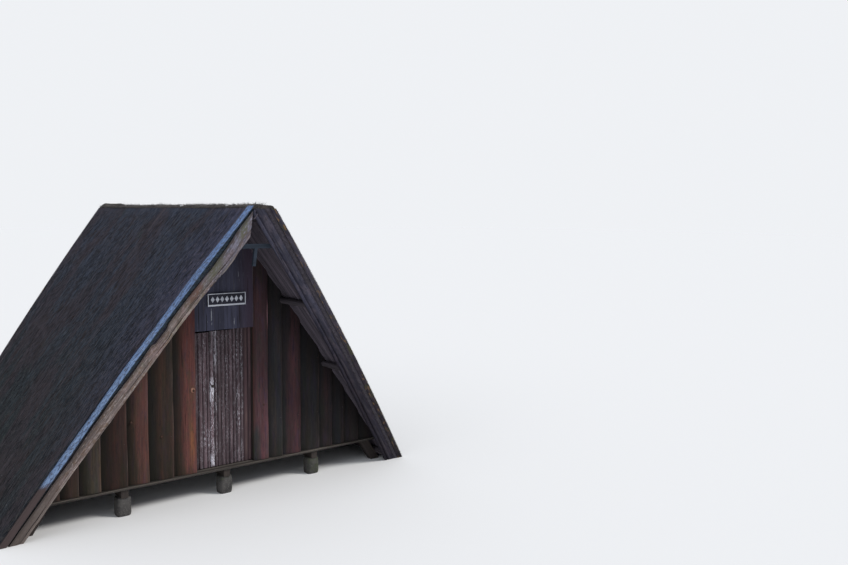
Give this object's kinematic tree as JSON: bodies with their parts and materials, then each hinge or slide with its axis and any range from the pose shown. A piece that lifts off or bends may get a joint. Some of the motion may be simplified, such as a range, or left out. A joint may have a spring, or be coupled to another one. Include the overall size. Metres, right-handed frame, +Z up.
{
  "type": "turf house",
  "caption": "Small A-frame turf house on low footings: two turf slopes with raked, outward-bowed verges, slab gables and a narrow plank door that opens inwards.",
  "frame": {"origin": "middle of the bounding box on the level floor that the house stands on, below the middle of the ridge", "axes": "+X to the right for someone who faces the front gable and its door, +Y to the rear along the ridge, +Z up"},
  "size_m": [5.1516, 5.06, 3.48],
  "materials": {
    "turf": "matt, weathered dry turf and grass thatch",
    "ridge_sod": "matt, weathered sod",
    "lathing_poles": "matt, bare poles",
    "pole_timber": "matt, bare weathered timber",
    "painted_batten": "matt, worn blue-grey paint",
    "weathered_board": "matt, silvered board",
    "wall_slabs": "matt, stained and weathered slabs",
    "plank": "matt, grey plank",
    "door_timber": "matt, faded purple-brown stain with paint flecks",
    "peg_wood": "matt, handled dark wood",
    "forged_iron": "matt, forged and rusted",
    "footing_stone": "matt, rough stone"
  },
  "bodies": {
    "hut": {"footings_front": "footing_stone", "footings_middle": "footing_stone", "footings_rear": "footing_stone", "floor_joists": "pole_timber", "floor_boards": "plank", "sill_front": "plank", "sill_rear": "plank", "rafters_front": "pole_timber", "rafters_second": "pole_timber", "rafters_third": "pole_timber", "rafters_rear": "pole_timber", "purlin_low_left": "pole_timber", "purlin_mid_left": "pole_timber", "purlin_high_left": "pole_timber", "purlin_low_right": "pole_timber", "purlin_mid_right": "pole_timber", "purlin_high_right": "pole_timber", "ridge_pole": "pole_timber", "lathing_left": "lathing_poles", "lathing_right": "lathing_poles", "turf_left": "turf", "turf_right": "turf", "ridge_sod": "ridge_sod", "verge_batten_front_left": "painted_batten", "verge_batten_front_right": "painted_batten", "verge_batten_rear_left": "painted_batten", "verge_batten_rear_right": "painted_batten", "bargeboard_front_left": "weathered_board", "bargeboard_front_right": "weathered_board", "bargeboard_rear_left": "weathered_board", "bargeboard_rear_right": "weathered_board", "apex_tie_front": "weathered_board", "apex_tie_rear": "weathered_board", "front_wall_left": "wall_slabs", "front_wall_right": "wall_slabs", "front_wall_top": "wall_slabs", "front_rails": "pole_timber", "rear_wall": "wall_slabs", "rear_rails": "pole_timber", "door_post_left": "pole_timber", "door_post_right": "pole_timber", "door_head": "pole_timber", "hinge_pintles": "forged_iron"},
    "door": {"door_slats": "door_timber", "door_ledges": "door_timber", "hinge_straps": "forged_iron", "door_peg": "peg_wood"}
  },
  "joints": [
    {"name": "door_swing", "type": "hinge", "parent": "hut", "child": "door", "pos_m": [0.3705, -1.45243, 0], "axis": [0, 0, -1], "range_deg": [0, 95]}
  ]
}
